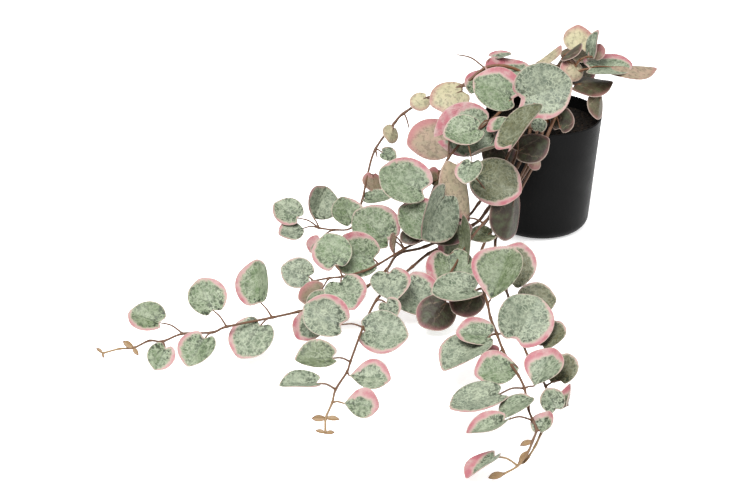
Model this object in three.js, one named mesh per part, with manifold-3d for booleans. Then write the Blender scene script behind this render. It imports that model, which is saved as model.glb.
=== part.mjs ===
// A string of hearts in its nursery pot: a thin plastic cup, its soil, and the leafy stems that
// rise from the soil, spill over the front left of the rim and run out along the surface.
// Millimetres, +Z up. The origin is the middle of the pot's foot, on the surface.

import * as THREE from 'three';
import { mergeVertices } from 'three/addons/utils/BufferGeometryUtils.js';
import Module from 'manifold-3d';

const wasm = await Module();
wasm.setup();

// ---- Driving dimensions ----
const potHeight = 92;
const potTopRadius = 45;
const potFootRadius = 38;
const potFootRounding = 9;
const potWall = 1.4;
const potFloor = 2;
const potSides = 40;
const footSteps = 3;
const insideSteps = 2;
const fitGap = 0.3;

const soilTop = 84;
const soilCrown = 1.5;
const soilShoulder = 0.55;
const soilSides = 24;
const rootBottom = 62;
const rootBend = 94;
const rootHoleSides = 8;
const pegTop = 3;
const pegOverlap = 1;

const stemRootRadius = 1.4;
const stemTipRadius = 0.7;
const stemSides = 4;
const stemStep = 15;
const curveTension = 0.5;

const petioleRadius = 0.7;
const petioleTip = 0.36;
const petioleSides = 3;
const petioleSteps = 3;
const shortPetiole = 9;
const petioleRise = 4;
const petioleSag = 0.12;
const petioleSink = 0.25;

const bladeThickness = 0.8;
const bladeLean = 36;
const bladeFold = 0.22;
const bladeCup = 0.1;
const bladeWave = 0.02;
const waveCount = 3;
const foldRounding = 0.06;
const turnedFold = 0.12;
const budSlimness = 0.36;
const budSink = 0.12;
const budFold = 0.5;
const surfaceClearance = 0.8;
const shortestEdge = 0.05;
const weldDistance = 1e-4;

// How far the seeded draws take a blade from its row, each way: the angles are in degrees.
const foldSpread = 0.12;
const cupSpread = 0.22;
const waveSpread = 0.012;
const leanSpread = 4;
const turnSpread = 8;
const budCupSpread = 0.1;
const budTurnSpread = 20;
const seedsPerStem = 100;
const seedFactor = 2654435761;
const drawFactor = 1664525;
const drawStep = 1013904223;
const drawRange = 2 ** 31;

// The heart's outline on a blade one unit wide: the notch is at the origin and the tip on +X.
const outlineTurns = [0, 0.5, 1.05, 1.6, 2.15, 2.72];
const ovalMiddle = 0.36;
const ovalReach = 0.52;
const halfWidth = 0.5;
const notchDepth = ovalReach - ovalMiddle;
const notchWidth = 0.25;
const tipLength = 0.045;
const tipWidth = 0.3;
const taperSpread = 1.15;
const heartMiddle = [0.3, 0];
const budOutline = [[0.88, 0], [0.6, 0.42], [0.15, 0.14], [0, 0], [0.15, -0.14], [0.6, -0.42]];

// ---- The stems ----
// Each stem goes from its root in the soil through its nodes. A node has its place and its leaves.
// A leaf is its petiole's length, the bearing in which the petiole leaves, the blade's width and the
// bearing in which its tip points; then, where it isn't held as the others are, how far the blade
// leans from level towards the front, how far it is turned over on its midrib, how steeply the petiole
// rises, and how far the blade's base tapers, from a plain heart at 0 to a spoon at 1. Bearings are in
// the leaning plane: 0 is right, 90 is up and to the back. A leaf of no width is a bare petiole.
// A bud is a small folded leaf: its bearing and its length.
const stems = [
  {
    name: 'stem_left_trail', root: [-11, -5], nodes: [
      { at: [-16, -34, 106] },
      { at: [-23, -55, 84] },
      { at: [-36, -61, 56] },
      { at: [-46, -70, 42] },
      { at: [-57, -77, 33] },
      { at: [-92, -98, 26] },
      { at: [-112, -112, 27] },
      { at: [-121, -140, 28], leaves: [[12, 277, 29, 280, 20, 0, 35]] },
      { at: [-135, -160, 25] },
      { at: [-150, -171, 23], leaves: [[8, 200, 24, 215, 30]] },
      { at: [-166, -184, 23] },
      { at: [-182, -197, 25], leaves: [[15, 338, 23, 228]] },
      { at: [-199, -207, 26], leaves: [[13, 130, 34, 96, 42, -36, 4, 0.3], [10, 218, 31, 240]] },
      { at: [-229, -220, 26], leaves: [[15, 130, 27, 114]] },
      { at: [-238, -226, 25], leaves: [[7, 222, 26, 244, 36, 14]] },
      { at: [-258, -226, 24], leaves: [[18, 153, 25, 160, 30]] },
      { at: [-271, -233, 22], leaves: [[5, 295, 19, 250, 40]] },
      { at: [-281, -225, 18] },
      { at: [-292, -226, 13], buds: [[145, 12], [305, 9]] },
      { at: [-302, -220, 9] },
      { at: [-314, -221, 6], buds: [[140, 8], [290, 5]] },
    ],
  },
  {
    name: 'stem_front_trail', root: [-5, -9], nodes: [
      { at: [-11, -37, 105] },
      { at: [-19, -60, 84] },
      { at: [-33, -66, 57] },
      { at: [-42, -76, 44] },
      { at: [-52, -84, 34] },
      { at: [-72, -92, 27] },
      { at: [-90, -102, 22] },
      { at: [-102, -121, 21] },
      { at: [-116, -149, 22], leaves: [[9, 10, 35, 296]] },
      { at: [-128, -176, 23], leaves: [[7, 340, 16, 300, 30]] },
      { at: [-137, -219, 25], leaves: [[15, 175, 31, 152, 40], [3, 285, 33, 350]] },
      { at: [-145, -262, 23], leaves: [[12, 168, 27, 182, 30, 10]] },
      { at: [-147, -273, 22], leaves: [[3, 290, 30, 352, 30, -12, 4, 1]] },
      { at: [-154, -292, 20], leaves: [[13, 174, 26, 184, 0, 0, 18]] },
      { at: [-156, -303, 17], leaves: [[7, 355, 25, 354, 36, -6, 4, 1]] },
      { at: [-160, -311, 10], buds: [[180, 12], [355, 12]] },
      { at: [-160, -322, 6], buds: [[165, 9], [5, 8]] },
    ],
  },
  {
    name: 'stem_short_trail', root: [-13, 2], nodes: [
      { at: [-21, -30, 107] },
      { at: [-28, -50, 84] },
      { at: [-41, -56, 57] },
      { at: [-52, -66, 46] },
      { at: [-63, -84, 42] },
      { at: [-93, -106, 36] },
      { at: [-108, -118, 34], leaves: [[13, 148, 35, 140, 42], [11, 130, 15, 262, 36, 115, 30]] },
      { at: [-127, -141, 33], leaves: [[5, 127, 34, 170, 42]] },
      { at: [-138, -150, 32] },
      { at: [-152, -158, 32], leaves: [[10, 118, 29, 106], [10, 262, 30, 292, 20, 0, 25]] },
      { at: [-161, -158, 31], leaves: [[10, 243, 21, 210, 36, 180]] },
      { at: [-173, -159, 29], leaves: [[4, 130, 23, 160, 42]] },
    ],
  },
  {
    name: 'stem_back_arch', root: [-7, 9], nodes: [
      { at: [-14, 13, 117] },
      { at: [-29, 13, 125] },
      {
        at: [-45, 12, 124],
        leaves: [[19, 68, 18, 31, 6], [17, 319, 34, 70, 12, 0, -14], [24, 152, 0, 150]],
      },
      { at: [-63, 8, 111], leaves: [[5, 280, 30, 205, 36, 180], [13, 330, 22, 78]] },
      { at: [-87, 5, 103], leaves: [[3, 190, 16, 215, 36, 180]] },
      { at: [-107, 2, 91], leaves: [[15, 285, 0, 290]] },
      { at: [-114, 0, 84], leaves: [[5, 255, 15, 256, 36, 150]] },
      { at: [-129, -10, 66], leaves: [[6, 330, 13, 340], [8, 280, 0, 270]] },
      { at: [-135, -30, 53], leaves: [[4, 10, 17, 275, 36, 150]] },
      { at: [-139, -52, 42], leaves: [[3, 40, 21, 2, 2]] },
      { at: [-146, -75, 31], leaves: [[3, 100, 25, 111]] },
      { at: [-159, -76, 29], leaves: [[14, 218, 15, 240]] },
      {
        at: [-171, -71, 28],
        leaves: [
          [18, 155, 23, 148, 45],
          [9, 118, 30, 70, 36, 38, 4, 0.6],
          [12, 184, 22, 208, 14, 0, 4, 0.6],
        ],
      },
    ],
  },
  {
    name: 'stem_upper', root: [-7, 2], nodes: [
      { at: [-19, -10, 114] },
      { at: [-32, -26, 107], leaves: [[10, 45, 37, 150, 42]] },
      {
        at: [-43, -40, 102],
        leaves: [
          [6, 230, 43, 193, 50],
          [22, 236, 29, 196, 36, 10, 33],
          [24, 303, 36, 200, 60, 72, 32],
          [16, 287, 26, 285, 60, 180, -20],
        ],
      },
      { at: [-63, -54, 92], leaves: [[39, 277, 21, 252, 36, 14, 32]] },
      { at: [-75, -66, 83], leaves: [[22, 88, 36, 200, 36, 180, 0]] },
      { at: [-84, -80, 71], leaves: [[19, 231, 38, 155, 42, 0, 32], [9, 80, 16, 262, 36, 140]] },
      { at: [-91, -96, 59], leaves: [[21, 284, 32, 152, 42, 0, 15], [20, 5, 42, 243, 40, -50, 52]] },
      { at: [-97, -110, 48], leaves: [[4, 250, 16, 215, 30, 180]] },
    ],
  },
  {
    name: 'stem_middle', root: [0, -11], nodes: [
      { at: [-6, -40, 104] },
      { at: [-15, -66, 84], leaves: [[5, 340, 11, 250, 36, 165]] },
      { at: [-28, -78, 62] },
      {
        at: [-39, -86, 51],
        leaves: [
          [28, 123, 37, 338, 52, 0, 12],
          [14, 34, 35, 260, 60, 130],
          [45, 133, 46, 286, 62, 110, 12],
        ],
      },
      { at: [-50, -100, 46], leaves: [[14, 165, 38, 192, 30, 180]] },
      { at: [-59, -112, 40], leaves: [[14, 126, 42, 274, 60, 66]] },
      { at: [-66, -123, 34], leaves: [[11, 195, 35, 275]] },
      { at: [-74, -140, 28] },
      { at: [-83, -160, 24], leaves: [[16, 285, 28, 225, 36, 180, 25]] },
    ],
  },
  {
    name: 'stem_front_spray', root: [3, -2], nodes: [
      { at: [-3, -24, 114], leaves: [[21, 190, 43, 18, 56, 0, 32]] },
      { at: [-15, -44, 112], leaves: [[14, 222, 24, 199, 60, 60, 4, 0.6]] },
      {
        at: [-24, -58, 102],
        leaves: [
          [31, 247, 44, 53, 50, -67, 46],
          [19, 267, 27, 20, 62, 150, 29],
          [15, 352, 12, 80, 36, 0, 10],
        ],
      },
    ],
  },
  {
    name: 'stem_right_trail', root: [6, -9], nodes: [
      { at: [-1, -37, 104] },
      { at: [-11, -61, 83] },
      { at: [-25, -70, 60] },
      { at: [-35, -79, 44] },
      { at: [-45, -94, 35], leaves: [[3, 300, 20, 200, 2]] },
      { at: [-53, -124, 33] },
      { at: [-54, -155, 34] },
      { at: [-54, -178, 33], leaves: [[6, 205, 34, 193, 12], [5, 200, 25, 224, 36, 180, 0]] },
      { at: [-52, -199, 32], leaves: [[3, 60, 45, 68, 46, -36, 4, 1]] },
      { at: [-51, -217, 31] },
      {
        at: [-48, -237, 30],
        leaves: [[13, 341, 38, 62], [5, 205, 25, 172, 20], [9, 213, 40, 217, 30, 30, 4, 0.3]],
      },
      { at: [-45, -255, 28], leaves: [[6, 150, 17, 222, 30, 122, -70]] },
      { at: [-41, -272, 27], leaves: [[6, 330, 32, 190, 26, 0, 4, 0.8]] },
      { at: [-37, -284, 26] },
      { at: [-34, -299, 25], leaves: [[17, 196, 36, 198, 36, 28], [6, 11, 32, 60, 36, -26, 4, 1]] },
      { at: [-33, -321, 23], leaves: [[8, 78, 26, 216, 36, 44, 26, 0.4]] },
      { at: [-31, -331, 21], leaves: [[21, 193, 28, 208, 36, 40, 28]] },
      { at: [-29, -337, 18], leaves: [[2, 330, 16, 62, 36, -30]] },
      { at: [-32, -344, 14], buds: [[200, 11]] },
      { at: [-35, -351, 11], buds: [[230, 12]] },
      { at: [-42, -362, 8], leaves: [[15, 157, 25, 218, 36, 50]] },
      { at: [-51, -368, 6], buds: [[195, 13]] },
    ],
  },
  {
    name: 'stem_right_back_trail', root: [11, -4], nodes: [
      { at: [6, -34, 104], leaves: [[11, 285, 18, 70, 60, 180]] },
      { at: [-7, -55, 82] },
      { at: [-21, -62, 55] },
      { at: [-32, -69, 37] },
      { at: [-40, -90, 30] },
      { at: [-41, -125, 27] },
      { at: [-37, -165, 25], leaves: [[6, 60, 33, 74, 42, -12]] },
      { at: [-33, -204, 24], leaves: [[14, 70, 26, 3]] },
      { at: [-30, -241, 23], leaves: [[12, 0, 24, 52, 36, -20]] },
      { at: [-28, -256, 23] },
      { at: [-24, -273, 23] },
      { at: [-20, -293, 23], leaves: [[10, 20, 22, 74, 36, -24]] },
      { at: [-18, -310, 20], leaves: [[6, 305, 16, 112, 40, 0, 30], [10, 350, 17, 74, 36, -60]] },
      { at: [-21, -323, 16] },
      { at: [-26, -334, 13] },
      { at: [-30, -343, 10] },
      { at: [-35, -353, 8], buds: [[215, 11]] },
    ],
  },
  {
    name: 'stem_crown_right', root: [8, 2], nodes: [
      { at: [13, -2, 108] },
      { at: [18, 0, 116], leaves: [[5, 330, 33, 10, 14, 180], [26, 334, 20, 262, 50, 142]] },
      { at: [21, 1, 122], leaves: [[14, 2, 36, 6, 8, 0, 26], [30, 0, 38, 2, -16, 180, 12]] },
      { at: [23, 2, 129], leaves: [[12, 152, 24, 47, 36, 128], [5, 100, 19, 262, 36, 155]] },
      { at: [26, 3, 134], leaves: [[10, 14, 23, 80, 60, -73], [11, 8, 14, 66, 50, 150]] },
    ],
  },
  {
    name: 'stem_crown_back', root: [4, 14], nodes: [
      { at: [6, 21, 108], leaves: [[16, 30, 30, 40, 20, 180], [12, 165, 24, 110, 12]] },
      { at: [12, 27, 120], leaves: [[17, 175, 27, 37, 60, 114], [16, 40, 26, 60, 10, 180]] },
      { at: [17, 29, 128], leaves: [[14, 26, 25, 90, 36, 180]] },
    ],
  },
];

// ---- Materials ----
const material = (color, roughness) => new THREE.MeshStandardMaterial({ color, roughness, metalness: 0 });
const potPlastic = material(0x1b1b1c, 0.55);
const pottingSoil = material(0x17120f, 0.95);
const leafSkin = material(0x93a98c, 0.6);

// ---- Solids and meshes ----
const toSolid = (geometry) => {
  const bare = geometry.clone();
  bare.deleteAttribute('normal');
  bare.deleteAttribute('uv');
  const merged = mergeVertices(bare, weldDistance);
  return new wasm.Manifold(new wasm.Mesh({
    numProp: 3,
    vertProperties: new Float32Array(merged.attributes.position.array),
    triVerts: new Uint32Array(merged.index.array),
  }));
};

const toGeometry = (solid) => {
  const mesh = solid.getMesh();
  const geometry = new THREE.BufferGeometry();
  geometry.setAttribute('position', new THREE.BufferAttribute(mesh.vertProperties, 3));
  geometry.setIndex(new THREE.BufferAttribute(mesh.triVerts, 1));
  geometry.computeVertexNormals();
  return geometry;
};

const part = new THREE.Group();
const place = (name, geometry, skin) => {
  const mesh = new THREE.Mesh(geometry, skin);
  mesh.name = name;
  part.add(mesh);
};

// ---- Pot: a tapered cup with a rounded foot ----
const potRadiusAt = (z) => potFootRadius + (potTopRadius - potFootRadius) * z / potHeight;
const potProfile = () => {
  const points = [new THREE.Vector2(0, 0)];
  for (let step = 0; step <= footSteps; step += 1) {
    const turn = step / footSteps * Math.PI / 2;
    const z = potFootRounding * (1 - Math.cos(turn));
    points.push(new THREE.Vector2(potRadiusAt(z) - potFootRounding * (1 - Math.sin(turn)), z));
  }
  points.push(new THREE.Vector2(potTopRadius, potHeight));
  points.push(new THREE.Vector2(potTopRadius - potWall, potHeight));
  for (let step = insideSteps; step >= 0; step -= 1) {
    const turn = step / insideSteps * Math.PI / 2;
    const inside = potFootRounding - potWall;
    const z = potFloor + inside * (1 - Math.cos(turn));
    points.push(new THREE.Vector2(potRadiusAt(z) - potWall - inside * (1 - Math.sin(turn)), z));
  }
  points.push(new THREE.Vector2(0, potFloor));
  return points;
};
const upright = (geometry) => geometry.rotateX(Math.PI / 2);
place('pot', upright(new THREE.LatheGeometry(potProfile(), potSides)), potPlastic);

// ---- Soil: fills the pot to just under the rim, with a plain hole for each stem's root ----
const soilProfile = () => {
  const points = [new THREE.Vector2(0, potFloor + fitGap)];
  const inside = potFootRounding - potWall;
  for (let step = 0; step <= insideSteps; step += 1) {
    const turn = step / insideSteps * Math.PI / 2;
    const z = potFloor + fitGap + inside * (1 - Math.cos(turn));
    const radius = potRadiusAt(z) - potWall - 2 * fitGap - inside * (1 - Math.sin(turn));
    points.push(new THREE.Vector2(radius, z));
  }
  points.push(new THREE.Vector2(potRadiusAt(soilTop) - potWall - 2 * fitGap, soilTop - soilCrown));
  points.push(new THREE.Vector2(potRadiusAt(soilTop) * soilShoulder, soilTop));
  points.push(new THREE.Vector2(0, soilTop + soilCrown));
  return points;
};
const rootHole = ([x, y]) => {
  const height = rootBend - rootBottom;
  const radius = stemRootRadius + 2 * fitGap;
  const hole = new THREE.CylinderGeometry(radius, radius, height, rootHoleSides);
  return toSolid(upright(hole).translate(x, y, rootBottom - fitGap + height / 2));
};
let soil = toSolid(upright(new THREE.LatheGeometry(soilProfile(), soilSides)));
for (const stem of stems) soil = soil.subtract(rootHole(stem.root));
place('soil', toGeometry(soil), pottingSoil);

// ---- Stems, petioles and blades ----
const degrees = Math.PI / 180;

// Seeded draws from -1 to 1, the same ones on every run.
const dice = (seed) => {
  let state = (seed * seedFactor) >>> 0;
  return () => {
    state = (Math.imul(state, drawFactor) + drawStep) >>> 0;
    return state / drawRange - 1;
  };
};

const polygon = (sides, radius) => {
  const corners = [];
  for (let side = 0; side < sides; side += 1) {
    const turn = side / sides * 2 * Math.PI;
    corners.push(new THREE.Vector2(radius * Math.cos(turn), radius * Math.sin(turn)));
  }
  return new THREE.Shape(corners);
};

// A tube along a smooth curve through the points, with its radius running from one end to the other.
const tube = (points, sides, steps, startRadius, endRadius) => {
  const curve = new THREE.CatmullRomCurve3(points, false, 'catmullrom', curveTension);
  const sweep = { steps, extrudePath: curve, bevelEnabled: false };
  const geometry = new THREE.ExtrudeGeometry(polygon(sides, 1), sweep);
  const position = geometry.attributes.position;
  const centres = curve.getSpacedPoints(steps);
  const vertex = new THREE.Vector3();
  for (let index = 0; index < position.count; index += 1) {
    vertex.fromBufferAttribute(position, index);
    let nearest = 0;
    for (let step = 1; step <= steps; step += 1) {
      const nearer = vertex.distanceToSquared(centres[step]) < vertex.distanceToSquared(centres[nearest]);
      if (nearer) nearest = step;
    }
    const radius = startRadius + (endRadius - startRadius) * nearest / steps;
    vertex.sub(centres[nearest]).multiplyScalar(radius).add(centres[nearest]);
    position.setXYZ(index, vertex.x, vertex.y, vertex.z);
  }
  return toSolid(geometry);
};

// A point of the heart's outline. Where the base tapers, the notch is spread wide and the sides are
// drawn in towards it.
const outlinePoint = (turn, taper) => {
  const fromNotch = Math.PI - Math.abs(turn);
  const notch = notchDepth * Math.exp(-((fromNotch / (notchWidth + taperSpread * taper)) ** 2));
  const tip = tipLength * Math.exp(-((turn / tipWidth) ** 2));
  const drawnIn = 1 - taper * Math.exp(-((fromNotch / taperSpread) ** 2));
  return [ovalMiddle + ovalReach * Math.cos(turn) + notch + tip, halfWidth * Math.sin(turn) * drawnIn];
};
const heart = (taper) => [
  ...outlineTurns.map((turn) => outlinePoint(turn, taper)),
  outlinePoint(Math.PI, taper),
  ...outlineTurns.slice(1).reverse().map((turn) => outlinePoint(-turn, taper)),
];

// The plane that a blade lies in, before it turns on its midrib.
const leaningPlane = (lean) => ({
  right: new THREE.Vector3(1, 0, 0),
  up: new THREE.Vector3(0, Math.cos(lean * degrees), Math.sin(lean * degrees)),
  out: new THREE.Vector3(0, -Math.sin(lean * degrees), Math.cos(lean * degrees)),
});
const bearing = (plane, angle) => plane.right.clone().multiplyScalar(Math.cos(angle * degrees))
  .addScaledVector(plane.up, Math.sin(angle * degrees));

const bladeFrame = (plane, aim, turn) => {
  const along = bearing(plane, aim);
  const level = bearing(plane, aim + 90);
  const across = level.clone().multiplyScalar(Math.cos(turn * degrees))
    .addScaledVector(plane.out, Math.sin(turn * degrees));
  return { along, across, face: new THREE.Vector3().crossVectors(along, across) };
};

// How far the blade rises out of its flat plane: folded on its midrib, cupped, and waved at the rim.
const bladeRise = (x, y, shape) => {
  const fold = shape.fold * (Math.hypot(y, foldRounding) - foldRounding);
  const fromMiddle = x - heartMiddle[0];
  const reach = fromMiddle ** 2 + y ** 2;
  const rimWave = shape.wave / halfWidth ** 2;
  const wave = rimWave * reach * Math.sin(waveCount * Math.atan2(y, fromMiddle) + shape.phase);
  const notchRise = (shape.cup - rimWave * Math.sin(shape.phase)) * heartMiddle[0] ** 2;
  return fold + shape.cup * reach + wave - notchRise;
};

const bladePoint = (base, frame, width, slimness, shape, [x, y], offset) => base.clone()
  .addScaledVector(frame.along, width * x)
  .addScaledVector(frame.across, width * y * slimness)
  .addScaledVector(frame.face, width * bladeRise(x, y, shape) * slimness + offset);

const blade = (outline, base, frame, width, slimness, shape) => {
  const corners = [heartMiddle, ...outline];
  const positions = [];
  for (const side of [0.5, -0.5]) {
    for (const corner of corners) {
      const point = bladePoint(base, frame, width, slimness, shape, corner, side * bladeThickness);
      positions.push(point.x, point.y, point.z);
    }
  }
  const index = [];
  const count = outline.length;
  for (let corner = 1; corner <= count; corner += 1) {
    const next = corner % count + 1;
    index.push(0, corner, next);
    index.push(count + 1, count + 1 + next, count + 1 + corner);
    index.push(corner, count + 1 + corner, next);
    index.push(next, count + 1 + corner, count + 1 + next);
  }
  const geometry = new THREE.BufferGeometry();
  geometry.setAttribute('position', new THREE.Float32BufferAttribute(positions, 3));
  geometry.setIndex(index);
  return geometry;
};

const lowest = (geometry) => {
  geometry.computeBoundingBox();
  return geometry.boundingBox.min.z;
};

// A leaf: its petiole bows from the node to the blade's notch and ends a little way inside the blade.
// A blade that is turned is also folded, so that one half still faces front, and one that would reach
// into the surface is lifted on its petiole until it lies on it.
const leaf = (node, row, draw) => {
  const [length, toward, width, aim, lean = bladeLean, turn = 0, rise = petioleRise, taper = 0] = row;
  const rim = heart(taper);
  const turned = Math.abs(Math.sin(2 * turn * degrees));
  const shape = {
    fold: bladeFold + foldSpread * draw() + turnedFold * turned,
    cup: bladeCup + cupSpread * draw(),
    wave: bladeWave + waveSpread * draw(),
    phase: Math.PI * draw(),
  };
  const plane = leaningPlane(lean + leanSpread * draw());
  const base = node.clone()
    .addScaledVector(bearing(plane, toward), length * Math.cos(rise * degrees))
    .addScaledVector(plane.out, length * Math.sin(rise * degrees));
  const frame = bladeFrame(plane, aim, turn + turnSpread * draw());
  const sunk = surfaceClearance - lowest(blade(rim, base, frame, width, 1, shape));
  if (sunk > 0) base.z += sunk;
  const middle = node.clone().lerp(base, 0.5);
  middle.z += petioleSag * length;
  const end = base.clone().lerp(bladePoint(base, frame, width, 1, shape, heartMiddle, 0), petioleSink);
  const steps = length > shortPetiole ? petioleSteps : petioleSteps - 1;
  const stalk = tube([node, middle, end], petioleSides, steps, petioleRadius, petioleTip);
  if (width === 0) return [stalk];
  return [stalk, toSolid(blade(rim, base, frame, width, 1, shape))];
};

const bud = (node, [aim, length], draw) => {
  const shape = { fold: budFold, cup: budCupSpread * draw(), wave: 0, phase: 0 };
  const frame = bladeFrame(leaningPlane(bladeLean), aim, budTurnSpread * draw());
  const base = node.clone().addScaledVector(frame.along, -budSink * length);
  const sunk = surfaceClearance - lowest(blade(budOutline, base, frame, length, budSlimness, shape));
  if (sunk > 0) base.z += sunk;
  return toSolid(blade(budOutline, base, frame, length, budSlimness, shape));
};

// The point on a run of straight stretches that is nearest to a place.
const nearestOn = (points, place) => {
  let nearest = points[0];
  const candidate = new THREE.Vector3();
  for (let index = 1; index < points.length; index += 1) {
    new THREE.Line3(points[index - 1], points[index]).closestPointToPoint(place, true, candidate);
    if (candidate.distanceToSquared(place) < nearest.distanceToSquared(place)) nearest = candidate.clone();
  }
  return nearest;
};

const leafyStem = ({ root, nodes }, number) => {
  const foot = new THREE.Vector3(root[0], root[1], soilTop + pegTop);
  const bend = foot.clone().setZ(rootBend);
  const route = [foot, bend, ...nodes.map((node) => new THREE.Vector3(...node.at))];
  const curve = new THREE.CatmullRomCurve3(route, false, 'catmullrom', curveTension);
  const steps = Math.round(curve.getLength() / stemStep);
  const centres = curve.getSpacedPoints(steps);
  const pegHeight = foot.z + pegOverlap - rootBottom;
  const peg = upright(new THREE.CylinderGeometry(stemRootRadius, stemRootRadius, pegHeight, stemSides));
  const solids = [
    toSolid(peg.translate(root[0], root[1], rootBottom + pegHeight / 2)),
    tube(route, stemSides, steps, stemRootRadius, stemTipRadius),
  ];
  nodes.forEach(({ at, leaves = [], buds = [] }, index) => {
    const draw = dice(seedsPerStem * number + index + 1);
    const node = nearestOn(centres, new THREE.Vector3(...at));
    for (const row of leaves) solids.push(...leaf(node, row, draw));
    for (const row of buds) solids.push(bud(node, row, draw));
  });
  return wasm.Manifold.union(solids).simplify(shortestEdge);
};

stems.forEach((stem, number) => place(stem.name, toGeometry(leafyStem(stem, number + 1)), leafSkin));

export default part;
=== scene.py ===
# A string of hearts: a nursery pot full of compost, and the leafy stems that rise from it, spill
# over the front left of the rim and lie out along the surface. Metres, +Z up, in the frame's axes.

import bpy
import numpy as np
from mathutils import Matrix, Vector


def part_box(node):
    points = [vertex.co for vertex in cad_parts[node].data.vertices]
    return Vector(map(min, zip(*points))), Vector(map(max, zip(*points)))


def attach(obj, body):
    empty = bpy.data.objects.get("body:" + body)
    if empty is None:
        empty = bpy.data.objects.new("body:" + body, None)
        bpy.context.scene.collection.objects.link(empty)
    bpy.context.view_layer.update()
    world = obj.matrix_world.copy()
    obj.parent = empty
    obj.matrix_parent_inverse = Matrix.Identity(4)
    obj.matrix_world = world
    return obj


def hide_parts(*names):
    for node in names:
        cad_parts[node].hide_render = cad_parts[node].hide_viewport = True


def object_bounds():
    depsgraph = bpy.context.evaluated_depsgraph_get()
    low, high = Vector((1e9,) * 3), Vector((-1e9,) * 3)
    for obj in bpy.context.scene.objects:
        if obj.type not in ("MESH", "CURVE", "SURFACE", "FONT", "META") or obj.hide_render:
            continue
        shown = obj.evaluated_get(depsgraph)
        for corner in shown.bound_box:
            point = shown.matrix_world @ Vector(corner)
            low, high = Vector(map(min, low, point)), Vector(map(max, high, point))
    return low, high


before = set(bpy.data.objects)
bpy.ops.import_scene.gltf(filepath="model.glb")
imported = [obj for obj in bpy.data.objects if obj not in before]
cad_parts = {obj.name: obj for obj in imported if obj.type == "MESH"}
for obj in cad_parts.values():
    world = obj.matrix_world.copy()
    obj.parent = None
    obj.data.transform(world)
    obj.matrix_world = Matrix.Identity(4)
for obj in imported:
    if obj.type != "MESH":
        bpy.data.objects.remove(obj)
cad_low, cad_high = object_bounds()
mm = 0.001

# ---- Pot ----
# The pot is a thin tapered cup, moulded in one shot in black polypropylene with a satin skin.
# Its foot has a round corner and stands flat on the surface, and its rim is a plain soft edge.
pot_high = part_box("pot")[1]
pot_height = pot_high.z
rim_radius = pot_high.x
foot_radius = 0.038
foot_round = 0.009
pot_wall = 0.0014
pot_floor = 0.002
pot_sides = 128
pot_black = (0.003, 0.003, 0.0031)
skin_grain = 0.00003


def closed_faces(rings, sides):
    """Faces of a closed form whose vertices are a first pole, rings of points and a last pole: a fan
    at each pole and quads between rings, all facing out where the rings turn left round the first pole."""
    here = np.arange(sides)
    after = (here + 1) % sides
    first = np.column_stack([np.zeros(sides, int), 1 + here, 1 + after])
    row = 1 + sides * np.arange(rings - 1)[:, None]
    quads = np.stack([row + here, row + sides + here, row + sides + after, row + after], -1)
    start = 1 + sides * (rings - 1)
    last = np.column_stack([np.full(sides, start + sides), start + after, start + here])
    return first.tolist() + quads.reshape(-1, 4).tolist() + last.tolist()


def arc(radius, height, curve, start, end, count):
    """Points of a round corner: its centre plus the curve's radius times cosine and sine of the angle."""
    turn = np.radians(np.linspace(start, end, count))
    return np.column_stack([radius + curve * np.cos(turn), height + curve * np.sin(turn)])


def lathe(profile, sides):
    """A profile of (radius, height) pairs turned about Z: x and y are the radius times cosine and sine
    of the turn. The first and last pair lie on the axis, and become the poles."""
    turn = np.linspace(0, 2 * np.pi, sides, endpoint=False)
    radius, height = profile[1:-1, :1], profile[1:-1, 1:]
    rings = np.stack([radius * np.cos(turn), radius * np.sin(turn), height + 0 * turn], -1)
    first, last = (0, 0, profile[0, 1]), (0, 0, profile[-1, 1])
    return np.vstack([first, rings.reshape(-1, 3), last]), closed_faces(len(radius), sides)


def piece(name, vertices, faces, *materials):
    """A smooth-shaded mesh object at the origin, its place in its vertices, that rides on the one body."""
    mesh = bpy.data.meshes.new(name)
    mesh.from_pydata(np.asarray(vertices).tolist(), [], faces)
    mesh.shade_smooth()
    for material in materials:
        mesh.materials.append(material)
    made = bpy.data.objects.new(name, mesh)
    bpy.context.scene.collection.objects.link(made)
    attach(made, "root")
    return made


def new_material(name, colour, roughness, specular):
    """A material with one Principled shader of that colour, roughness and specular level."""
    material = bpy.data.materials.new(name)
    material.use_nodes = True
    shader = material.node_tree.nodes["Principled BSDF"]
    shader.inputs["Base Color"].default_value = (*colour, 1)
    shader.inputs["Roughness"].default_value = roughness
    shader.inputs["Specular IOR Level"].default_value = specular
    return material, material.node_tree, shader


def add(tree, kind, inputs, **settings):
    """Adds a node with its settings. Each input is a socket to link, or a plain value to set."""
    made = tree.nodes.new("ShaderNode" + kind)
    for setting, value in settings.items():
        setattr(made, setting, value)
    for key, value in inputs.items():
        if isinstance(value, bpy.types.NodeSocket):
            tree.links.new(value, made.inputs[key])
        else:
            made.inputs[key].default_value = value
    return made


def noise(tree, place, scale, detail):
    """A noise texture of that scale and detail, with its Fac and Color."""
    return add(tree, "TexNoise", {"Vector": place, "Scale": scale, "Detail": detail}).outputs


def speckle(tree, place, scale, detail, low, high):
    """Noise of that scale, spread so that what lies between low and high runs from 0 to 1."""
    spread = {"Value": noise(tree, place, scale, detail)["Fac"], "From Min": low, "From Max": high}
    return add(tree, "MapRange", spread).outputs["Result"]


def bump(tree, shader, height, distance):
    """Raises the shader's surface by the height, times the distance in metres."""
    raised = add(tree, "Bump", {"Height": height, "Distance": distance})
    tree.links.new(raised.outputs["Normal"], shader.inputs["Normal"])


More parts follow.
